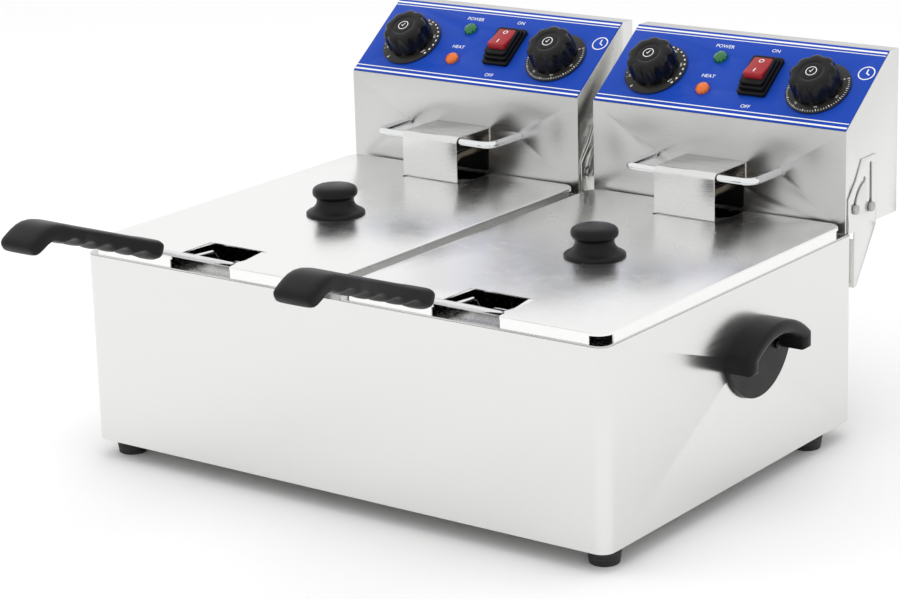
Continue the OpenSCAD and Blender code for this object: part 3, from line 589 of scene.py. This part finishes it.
# Rings up the cap: radius, height over its foot, depth of the flutes
CAP_STATIONS = [(22.9, 0.0, 0.4), (23.5, 0.8, 1.4), (23.5, 3.0, 2.2), (23.1, 10.0, 2.5),
                (22.6, 16.5, 2.5), (22.0, 18.6, 2.3), (20.9, 20.0, 1.8), (19.4, 20.8, 1.2),
                (17.0, 21.2, 0.5), (14.0, 21.35, 0.0), (11.6, 21.3, 0.0), (10.9, 20.7, 0.0),
                (10.2, 20.6, 0.0), (9.4, 21.1, 0.0), (8.8, 21.2, 0.0), (6.0, 20.9, 0.0),
                (3.0, 20.75, 0.0), (0.6, 20.7, 0.0)]
CAP_FOOT = 2.6          # height of the cap's foot, sunk a little into the skirt's top
CAP_TOP = CAP_FOOT + 20.98
KNOB_GAP = 0.6          # between the foil and the skirt
SKIRT_RIM, SKIRT_RIM_Z = 30.2, 1.9      # the skirt's cone rises inwards from here
SKIRT_TILT = atan2(1.1, 7.7)
SKIRT_PROFILE = [(3.3, 0), (30.4, 0), (31, 0.6), (31, 1.3), (SKIRT_RIM, SKIRT_RIM_Z), (22.5, 3.0),
                 (3.3, 3.0), (3.3, 0)]


def skirt_at(r, angle):
    """A place on the skirt's cone, r from the shaft."""
    return Vector((r * sin(angle), r * cos(angle), SKIRT_RIM_Z + (SKIRT_RIM - r) * tan(SKIRT_TILT) + INK))


# Angles of the marks, clockwise from straight up the panel, in degrees
TIMER_START, MINUTE = 60, 5
DIAL_START, DIAL_STEP, DEGREES_STEP, OFF_MARK = -120, 12, 48, -150
for side in SIDES:
    for control in ("thermostat", "timer"):
        body = node = f"{control}_knob_{side}"
        place = on_knob(side, control) @ Matrix.Translation((0, 0, FOIL_T + KNOB_GAP))
        bm = loft(FLUTES * 16, [fluted(r, z + CAP_FOOT, d) for r, z, d in CAP_STATIONS])
        make(f"{control}_cap_{side}", bm, place, knob_plastic, body, "knob_plastic", node, sharp=45)
        bm = spun(SKIRT_PROFILE, 96)
        make(f"{control}_skirt_{side}", bm, place, skirt_plastic, body, "knob_plastic", sharp=30)
        bm = bmesh.new()
        if control == "timer":
            for minute in range(60):
                angle = radians(TIMER_START + minute * MINUTE)
                longer = minute % 5 == 0
                print_bar(bm, 3.6 if longer else 2.2, 0.75 if longer else 0.5,
                          skirt_at(28.2 if longer else 28.9, angle), -angle)
            for minute in range(0, 60, 10):
                angle = radians(TIMER_START + minute * MINUTE)
                print_text(bm, str(minute), 3.6, skirt_at(24.7, angle), -angle)
        else:
            for number in range(21):
                angle = radians(DIAL_START + number * DIAL_STEP)
                print_dot(bm, 0.4 + 0.045 * number, skirt_at(28.6, angle))
            for number, degree in enumerate((60, 90, 120, 150, 180, 200)):
                angle = radians(DIAL_START + number * DEGREES_STEP)
                print_text(bm, str(degree), 3.4, skirt_at(25.2, angle), -angle)
            print_bar(bm, 4.5, 1.0, skirt_at(27.6, radians(OFF_MARK)), radians(-OFF_MARK))
        print_ring(bm, 5.4, 0.7, Vector((0, 0, CAP_TOP)))
        print_bar(bm, 4.0, 0.7, Vector((0.3, 1.0, CAP_TOP)), radians(-20))
        print_bar(bm, 2.6, 0.7, Vector((-0.9, -0.6, CAP_TOP)), radians(60))
        make(f"{control}_marks_{side}", bm, place, white_ink, body, "knob_plastic", sharp=30)

# ---------------------------------------------------------------- switch and lamps

SWITCH = (24, 50.5)
# The boot's steps: width, length, height, corner
BOOT_STEPS = [(30, 47, 4.0, 3.0), (27, 40, 4.0, 3.0), (25, 34.5, 3.6, 3.4)]
ROCKER_PIVOT = 2.5      # height of the rocker's pivot over the panel
ROCKER_TURN = radians(-12)
LAMP_X, LAMP_R = -28, 6.9
LAMP_SEAT = 1.3         # height of the straight foot under the lens's dome
LAMPS = (("power", 69, green_lens, "lamp_green"), ("heat", 29, orange_lens, "lamp_orange"))
for side in SIDES:
    body = f"head_{side}"
    at_switch = panel(side) @ Matrix.Translation((*SWITCH, FOIL_T))
    bm = bmesh.new()
    base = 0.0
    for w, l, h, r in BOOT_STEPS:
        step = bmesh.new()
        slab(step, w, l, h, 0, r, 0.8)
        step.transform(Matrix.Translation((0, 0, base)))
        join(bm, step)
        base += h - 0.02
    make(f"switch_boot_{side}", bm, at_switch, boot_rubber, body, "switch_black", f"switch_housing_{side}",
         sharp=40)

    # The rocker: a dished block, turned about its own pivot with its lower end up
    rocker_place = panel(side) @ Matrix.Translation((*SWITCH, ROCKER_PIVOT)) \
        @ Matrix.Rotation(ROCKER_TURN, 4, "X")
    bm = bmesh.new()
    slab(bm, 20.4, 27.0, 9.6, 3.0, 2.6, 1.3)
    bmesh.ops.bisect_plane(bm, geom=bm.verts[:] + bm.edges[:] + bm.faces[:], plane_co=(0, 0, 0),
                           plane_no=(0, 1, 0))
    for vert in bm.verts:
        if vert.co.z > 8 and abs(vert.co.y) < 1:
            vert.co.z -= 0.5
    make(f"rocker_cap_{side}", bm, rocker_place, red_rocker, f"rocker_{side}", "rocker_red",
         f"rocker_{side}", sharp=40)
    bm = bmesh.new()
    print_bar(bm, 5.0, 1.0, (0, -7.0, 12.58))
    print_ring(bm, 2.6, 0.8, Vector((0, 7.4, 12.56)))
    make(f"rocker_marks_{side}", bm, rocker_place, white_ink, f"rocker_{side}", "rocker_red", sharp=30)

    for lamp, up, finish, slot in LAMPS:
        place = panel(side) @ Matrix.Translation((LAMP_X, up, FOIL_T))
        bm = bmesh.new()
        bmesh.ops.create_icosphere(bm, subdivisions=2, radius=LAMP_R)
        bmesh.ops.bisect_plane(bm, geom=bm.verts[:] + bm.edges[:] + bm.faces[:], plane_co=(0, 0, 0),
                               plane_no=(0, 0, 1), clear_inner=True)
        rim = [e for e in bm.edges if len(e.link_faces) == 1]
        made = bmesh.ops.extrude_edge_only(bm, edges=rim)["geom"]
        low_ring = [g for g in made if isinstance(g, bmesh.types.BMVert)]
        bmesh.ops.scale(bm, vec=(1, 1, 0.62), verts=bm.verts)
        bmesh.ops.translate(bm, vec=(0, 0, LAMP_SEAT), verts=bm.verts)
        for vert in low_ring:
            vert.co.z = 0
        bmesh.ops.contextual_create(bm, geom=[g for g in made if isinstance(g, bmesh.types.BMEdge)
                                              and all(v in low_ring for v in g.verts)])
        make(f"{lamp}_lens_{side}", bm, place, finish, body, slot, f"{lamp}_lamp_{side}", sharp=10)

# ---------------------------------------------------------------- element, sensor and hanger rod

TUBE_D = 8
LOOP_W = 50             # between the element's outer and inner runs
LEG_X, LEG_Y = 18, 352  # where the element's legs rise, behind the basket
BEND_R = 12
BULB_D, BULB_L = 6, 80
CAPILLARY_D = 2.4
STRAP_D = 1.2
RAIL_D = 7
for side in SIDES:
    body = f"head_{side}"
    place = half(side)
    low, high = box(f"element_{side}")
    outer = (high.x - low.x) / 2 - TUBE_D / 2
    inner = outer - LOOP_W
    front_y, level = low.y + TUBE_D / 2, low.z + TUBE_D / 2
    exit_z = high.z - TUBE_D / 2
    back_y = box(f"basket_{side}")[1].y
    arm = [(LEG_X, high.y, exit_z), (LEG_X, LEG_Y, exit_z), (LEG_X, LEG_Y, level), (outer, LEG_Y, level),
           (outer, front_y, level), (inner, front_y, level), (inner, back_y, level)]
    path = arm + [(-x, y, z) for x, y, z in reversed(arm)]
    rods(f"element_tube_{side}", [(eased(path, BEND_R), TUBE_D, False)], element_steel, body,
         "element_steel", f"element_{side}", place=place)

    low, high = box(f"sensor_{side}")
    bulb_z = level + TUBE_D / 2 + 4
    bulb_y = back_y - 60
    tail_z = high.z - CAPILLARY_D / 2
    tail = [(0, bulb_y, bulb_z), (0, LEG_Y, bulb_z), (0, LEG_Y, tail_z), (0, high.y, tail_z)]
    bulb = [(0, bulb_y - BULB_L, bulb_z), (0, bulb_y, bulb_z)]
    # The strap that holds the bulb, laid across the element's inner runs
    strap_x, strap_y, strap_z = inner + 7, bulb_y - BULB_L / 2, bulb_z - 3.4
    strap = [(-strap_x, strap_y, strap_z), (strap_x, strap_y, strap_z)]
    runs = [(eased(tail, BEND_R), CAPILLARY_D, False), (bulb, BULB_D, False), (strap, STRAP_D, False)]
    rods(f"sensor_bulb_{side}", runs, copper, body, "copper", f"sensor_{side}", place=place)

    low, high = box(f"hanger_rod_{side}")
    reach, rail_y, rail_z = (high.x - low.x) / 2 - RAIL_D / 2, low.y + RAIL_D / 2, low.z + RAIL_D / 2
    rail = [(-reach, high.y, rail_z), (-reach, rail_y, rail_z), (reach, rail_y, rail_z),
            (reach, high.y, rail_z)]
    rods(f"hanger_rail_{side}", [(eased(rail, BEND_R, 8), RAIL_D, False)], chrome, body, "chrome_wire",
         f"hanger_rod_{side}", place=place)

# ---------------------------------------------------------------- lids

LID_T = 1.2
RIM_R = 2.2             # bend where the lid's top turns down
LIP = 3.2               # height of the lip that runs round the corners
NOTCH_W, NOTCH_L = 66, 54
LID_R = 14
CUT_R, EDGE_R = 3, 1.5  # corners inside a cut-out, and where it meets the lid's edge
GUARD_GAP = 2
# The knob: a wide foot, a waist and a domed top
LID_KNOB_PROFILE = [(0, 0), (26.7, 0), (27.3, 0.35), (27.5, 1.1), (27.2, 2.1), (26.0, 3.0), (23.6, 4.2),
                    (21.2, 5.8), (19.2, 7.8), (17.9, 10.0), (17.3, 12.2), (17.4, 14.2), (18.2, 16.0),
                    (19.6, 17.2), (20.6, 18.4), (21.0, 20), (20.9, 22.0), (20.4, 23.8), (19.2, 25.2),
                    (17.0, 26.3), (12.6, 27.2), (6, 27.8), (0, 28)]
for side in SIDES:
    body = f"lid_{side}"
    low, high = box(f"lid_{side}")
    guard_low, guard_high = box(f"guard_{side}")
    w, top = (high.x - low.x) / 2, high.z
    front_y, back_y = low.y, high.y
    cut = (guard_high.x - guard_low.x) / 2 + GUARD_GAP
    cut_y = guard_low.y - GUARD_GAP
    n = NOTCH_W / 2
    outline = [(0, front_y + NOTCH_L), (n, front_y + NOTCH_L), (n, front_y), (w, front_y), (w, back_y),
               (cut, back_y), (cut, cut_y), (-cut, cut_y), (-cut, back_y), (-w, back_y), (-w, front_y),
               (-n, front_y), (-n, front_y + NOTCH_L), (0, front_y + NOTCH_L)]
    radii = [0, CUT_R, EDGE_R, LID_R, LID_R, EDGE_R, CUT_R, CUT_R, EDGE_R, LID_R, LID_R, EDGE_R, CUT_R, 0]
    path = eased([(x, y, top) for x, y in outline], radii, 7)[:-1]
    bm = bmesh.new()
    bm.faces.new([bm.verts.new(p) for p in path])

    def on_side(edge):
        """True for an edge round the outside, where the lid is turned down."""
        m = (edge.verts[0].co + edge.verts[1].co) / 2
        inside_front = abs(m.x) < n + 0.01 and m.y < front_y + NOTCH_L + 0.01
        inside_back = abs(m.x) < cut + 0.01 and m.y > cut_y - 0.01
        return not (inside_front or inside_back)

    rim = [e for e in bm.edges if on_side(e)]
    made = bmesh.ops.extrude_edge_only(bm, edges=rim)["geom"]
    dropped = [g for g in made if isinstance(g, bmesh.types.BMVert)]
    bmesh.ops.translate(bm, vec=(0, 0, -LIP), verts=dropped)
    low_edges = [g for g in made if isinstance(g, bmesh.types.BMEdge) and all(v in dropped for v in g.verts)]
    # Only the straight runs go down to the tank's flange: the corners stop at the lip
    straight = [e for e in low_edges if e.calc_length() > 12]
    made = bmesh.ops.extrude_edge_only(bm, edges=straight)["geom"]
    skirt = [g for g in made if isinstance(g, bmesh.types.BMVert)]
    bmesh.ops.translate(bm, vec=(0, 0, -(top - low.z - LIP)), verts=skirt)
    bend = [e for e in bm.edges if len(e.link_faces) == 2 and all(abs(v.co.z - top) < 0.01 for v in e.verts)]
    bmesh.ops.bevel(bm, geom=bend, offset=RIM_R, offset_type="OFFSET", segments=4, profile=0.5,
                    affect="EDGES", material=-1, clamp_overlap=True)
    bmesh.ops.recalc_face_normals(bm, faces=bm.faces)
    if max(bm.faces, key=lambda f: f.calc_area()).normal.z < 0:
        bmesh.ops.reverse_faces(bm, faces=bm.faces)
    bmesh.ops.solidify(bm, geom=bm.faces, thickness=LID_T)
    make(f"pressed_lid_{side}", bm, half(side), buffed_steel, body, "lid_steel", f"lid_{side}", sharp=30)

    low, high = box(f"lid_knob_{side}")
    knob_place = half(side) @ Matrix.Translation((0, (low.y + high.y) / 2, low.z))
    make(f"turned_lid_knob_{side}", spun(LID_KNOB_PROFILE, 72), knob_place, handle_plastic, body,
         "knob_plastic", f"lid_knob_{side}", sharp=60)

# ---------------------------------------------------------------- baskets

MESH_PITCH = 6.5        # spacing of the basket's mesh wires
MESH_D = 1.2
RIM_D = 5
BASKET_R = 20
WEAVE = MESH_D * 0.35   # how far the two layers of the floor's wires lie above and below its middle
FIRST_RING = 6          # height of the lowest ring of wire over the floor
LAST_RING = 3           # gap left between the rings and the rim
HANDLE_D, STAY_D = 5, 4
BAR_X, BAR_Y, BAR_Z = 29, 19.2, 182.6   # one end of the handle's crossbar
GRIP_X, GRIP_Y, GRIP_Z = 11, -60, 212.5 # where a handle wire enters the grip
IN_GRIP = 30            # length of wire moulded into the grip
STAY_X, STAY_BEND_Y = 25, 50
STAY_TOP, STAY_FOOT = 155, 111          # heights between which a stay runs down the basket's front
RIM_IN, FOOT_RING_IN = 1.3, 4.0         # how far the rim and the foot's ring stand inside the mesh
FOOT_RING_D, FOOT_RING_UP = 3, 3.2
GRIP_SLOPE = radians(20)
GROOVES, GROOVE_START, GROOVE_PITCH = 5, 22, 22.5
GROOVE_W, GROOVE_D = 11.5, 5.0          # half a finger groove's width, and its depth
RIDGE, SQUARE = 0.75, 0.42              # exponents of the section's outline: pinched, and nearly square


def groove(u):
    """Depth of the finger grooves below the grip."""
    depth = 0
    for number in range(GROOVES):
        off = u - (GROOVE_START + number * GROOVE_PITCH)
        if abs(off) < GROOVE_W:
            depth = max(depth, GROOVE_D * (0.5 + 0.5 * cos(pi * off / GROOVE_W)))
    return depth


# Stations of the grip: along, up, tilt in degrees, above, below, half width. Five finger grooves
# below, and a tail that bends down at its far end
GRIP_STATIONS = [(0.0, 0, 0, 3.6, 3.6, 11.0), (0.7, 0, 0, 6.2, 6.2, 14.6), (2.4, 0, 0, 8.1, 8.1, 17.2),
                 (5.5, 0, 0, 9.0, 9.0, 18.2)]
GRIP_STATIONS += [(u, 0, 0, 8.5 + 0.5 * max(0, 1 - (u - 8) / 12), 8.5 - groove(u),
                   17.9 - 3.0 * sin(pi * min(1, (u - 8) / 95)) + 0.05 * max(0, u - 90))
                  for u in range(9, 125, 3)]
GRIP_STATIONS += [(129, 0.1, -3, 8.5, 8.4, 19.2), (135, -0.3, -12, 8.2, 8.0, 19.5),
                  (140, -1.6, -24, 7.7, 7.3, 19.8), (144.5, -4.0, -36, 7.2, 6.9, 20),
                  (148.5, -7.4, -45, 6.9, 6.7, 20), (152.5, -11.8, -48, 6.8, 6.6, 20),
                  (155.6, -15.2, -49, 6.6, 6.4, 19.8), (157.6, -17.6, -49, 5.9, 5.6, 19.1),
                  (158.8, -19.0, -49, 4.4, 4.2, 17.8), (159.3, -19.6, -49, 2.4, 2.2, 15.5)]


def section(u, v, tilt, above, below, w):
    """Across the grip: a rounded oblong on top, narrowing to a ridge under the fingers."""
    turned = radians(tilt)
    ridge = SQUARE + (RIDGE - SQUARE) * max(0, min(1, (128 - u) / 12))

    def station(turn):
        c, s = cos(2 * pi * turn), sin(2 * pi * turn)
        bulge = SQUARE if s > 0 else ridge
        x = w * (1 if c > 0 else -1) * abs(c) ** bulge
        h = (above if s > 0 else below) * (1 if s > 0 else -1) * abs(s) ** bulge
        return Vector((x, u - h * sin(turned), v + h * cos(turned)))
    return station


for side in SIDES:
    body = f"basket_{side}"
    place = half(side)
    low, high = box(f"basket_{side}")
    half_w, half_l = (high.x - low.x) / 2 - MESH_D, (high.y - low.y) / 2 - MESH_D
    mid_y = (low.y + high.y) / 2
    floor, rim_z = low.z + MESH_D, high.z - RIM_D / 2

    def reach(across, own, other):
        """How far a mesh wire runs to the rounded outline, at a distance from the middle."""
        beyond = max(0, abs(across) - (own - BASKET_R))
        return other - BASKET_R + sqrt(max(0, BASKET_R ** 2 - beyond ** 2))

    runs = []
    for own, other, swap in ((half_w, half_l, False), (half_l, half_w, True)):
        count = int(2 * own / MESH_PITCH)
        for number in range(1, count):
            across = -own + number * 2 * own / count
            far = reach(across, own, other)
            lift = WEAVE if swap else -WEAVE
            path = [(across, -far, rim_z), (across, -far, floor + lift), (across, far, floor + lift),
                    (across, far, rim_z)]
            if swap:
                path = [(y, x, z) for x, y, z in path]
            path = [(x, y + mid_y, z) for x, y, z in path]
            runs.append((eased(path, 5, 3), MESH_D, False))
    levels = int((rim_z - floor - FIRST_RING) / MESH_PITCH)
    for number in range(levels):
        z = floor + FIRST_RING + number * (rim_z - floor - FIRST_RING - LAST_RING) / levels
        loop = [corner_point(i / 40, half_w + 0.3, half_l + 0.3, BASKET_R, 10) for i in range(40)]
        runs.append(([(x, y + mid_y, z) for x, y in loop], MESH_D, True))
    rods(f"mesh_basket_{side}", runs, nickel_wire, body, "basket_wire", f"basket_{side}", place=place)
    runs = []
    for inset, z, wire in ((RIM_IN, rim_z, RIM_D), (FOOT_RING_IN, floor + FOOT_RING_UP, FOOT_RING_D)):
        loop = [corner_point(i / 48, half_w - inset, half_l - inset, BASKET_R - inset, 12) for i in range(48)]
        runs.append(([(x, y + mid_y, z) for x, y in loop], wire, True))
    rods(f"basket_rim_{side}", runs, chrome, body, "basket_wire", place=place)

    along = Vector((0, -cos(GRIP_SLOPE), sin(GRIP_SLOPE)))
    grip_near = Vector((GRIP_X, GRIP_Y, GRIP_Z))
    arm = [grip_near + along * IN_GRIP, grip_near, Vector((BAR_X, BAR_Y, BAR_Z))]
    frame_path = arm + [Vector((-p.x, p.y, p.z)) for p in reversed(arm)]
    stay_y = low.y - 2.2
    stays = [[(x, BAR_Y, BAR_Z), (x, STAY_BEND_Y, BAR_Z - 2), (x, stay_y, STAY_TOP), (x, stay_y, STAY_FOOT)]
             for x in (-STAY_X, STAY_X)]
    rods(f"handle_frame_{side}", [(eased(frame_path, 7, 6), HANDLE_D, False)]
         + [(eased(p, 6, 5), STAY_D, False) for p in stays], chrome, body, "chrome_wire",
         f"handle_wires_{side}", place=place)

    bm = loft(48, [section(*s) for s in GRIP_STATIONS])
    grip_place = place @ Matrix.Translation((0, GRIP_Y, GRIP_Z)) @ Matrix.Rotation(-GRIP_SLOPE, 4, "X") \
        @ Matrix.Diagonal((1, -1, 1, 1))
    make(f"moulded_grip_{side}", bm, grip_place, handle_plastic, body, "handle_plastic", f"grip_{side}",
         sharp=60)

# ---------------------------------------------------------------- floor, light and camera

floor_white, tree, shader, where = surface("matt_white_paper", "#F6F6F6", Roughness=0.9)
paper = add(tree, "Bump", {"Height": noise(tree, where, (4, 4, 4)).outputs["Fac"], "Strength": 0.3,
                           "Distance": 0.05 * MM})
tree.links.new(paper.outputs["Normal"], shader.inputs["Normal"])
bm = bmesh.new()
bmesh.ops.create_grid(bm, x_segments=1, y_segments=1, size=12)
mesh = bpy.data.meshes.new("studio_floor")
bm.to_mesh(mesh)
bm.free()
mesh.materials.append(floor_white)
studio_floor = bpy.data.objects.new("studio_floor", mesh)
bpy.context.scene.collection.objects.link(studio_floor)

world = bpy.data.worlds.new("studio")
bpy.context.scene.world = world
world.use_nodes = True
world.node_tree.nodes["Background"].inputs["Color"].default_value = (1, 1, 1, 1)
world.node_tree.nodes["Background"].inputs["Strength"].default_value = 1.0


def soft_light(name, at, towards, size, power):
    """A square soft box at a place, turned to another, in metres and watts."""
    data = bpy.data.lights.new(name, "AREA")
    data.size, data.energy = size, power
    lamp = bpy.data.objects.new(name, data)
    lamp.location = at
    lamp.rotation_euler = (Vector(towards) - Vector(at)).to_track_quat("-Z", "Y").to_euler()
    lamp.visible_glossy = False
    bpy.context.scene.collection.objects.link(lamp)


soft_light("soft_box_left", at=(-1.6, -1.2, 1.9), towards=(0, 0, 0.1), size=1.2, power=7)
soft_light("soft_box_above", at=(0.3, 0.2, 2.4), towards=(0, 0, 0.1), size=1.6, power=11)

camera_data = bpy.data.cameras.new("camera")
camera_data.lens, camera_data.sensor_width = 113.575, 36
camera_data.shift_x = -0.004
camera = bpy.data.objects.new("camera", camera_data)
rightwards, upwards = Vector((0.80663, 0.59043, -0.02712)), Vector((-0.14499, 0.24215, 0.95934))
backwards = rightwards.cross(upwards)
camera.matrix_world = Matrix.Translation(CABINET @ Vector((1461.76, -1784.75, 845.71))) \
    @ Matrix((rightwards, upwards, backwards)).transposed().to_4x4()
bpy.context.scene.collection.objects.link(camera)
bpy.context.scene.camera = camera
bpy.context.scene.view_settings.view_transform = "Standard"
